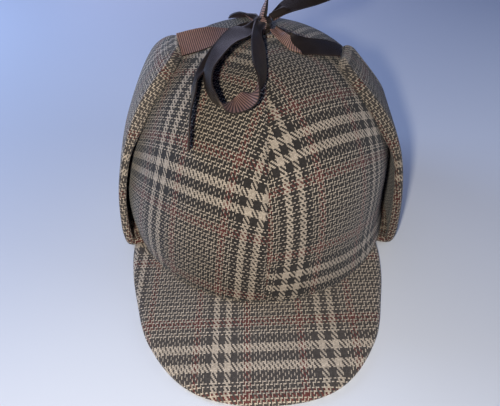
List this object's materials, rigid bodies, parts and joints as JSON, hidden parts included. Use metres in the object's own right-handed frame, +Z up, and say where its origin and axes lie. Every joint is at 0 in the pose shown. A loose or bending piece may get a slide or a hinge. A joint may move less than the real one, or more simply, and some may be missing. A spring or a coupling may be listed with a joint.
{
  "type": "deerstalker hat",
  "caption": "Plaid cloth deerstalker hat: rounded panelled crown, stiffened peaks at front and back, and turned-up ear flaps tied over the crown with a ribbon bow.",
  "frame": {"origin": "on the surface that the hat rests on, under the middle of its box", "axes": "+X to the right seen from the front, -Y towards the front peak, +Z up through the crown"},
  "size_m": [0.1864, 0.34, 0.1593],
  "materials": {
    "crown_cloth": "woven plaid wool cloth",
    "peak_cloth": "woven plaid wool cloth over a stiffener",
    "flap_cloth": "woven plaid wool cloth, doubled",
    "ribbon_satin": "satin ribbon"
  },
  "bodies": {
    "root": {"crown_front_left": "crown_cloth", "crown_front_right": "crown_cloth", "crown_back_left": "crown_cloth", "crown_back_right": "crown_cloth", "front_peak": "peak_cloth", "back_peak": "peak_cloth", "ear_flap_left": "flap_cloth", "ear_flap_right": "flap_cloth", "bow_knot": "ribbon_satin", "ribbon_strap_left": "ribbon_satin", "ribbon_strap_right": "ribbon_satin", "bow_loop_front": "ribbon_satin", "bow_loop_back": "ribbon_satin", "bow_tail_front": "ribbon_satin", "bow_tail_back": "ribbon_satin"}
  },
  "joints": []
}
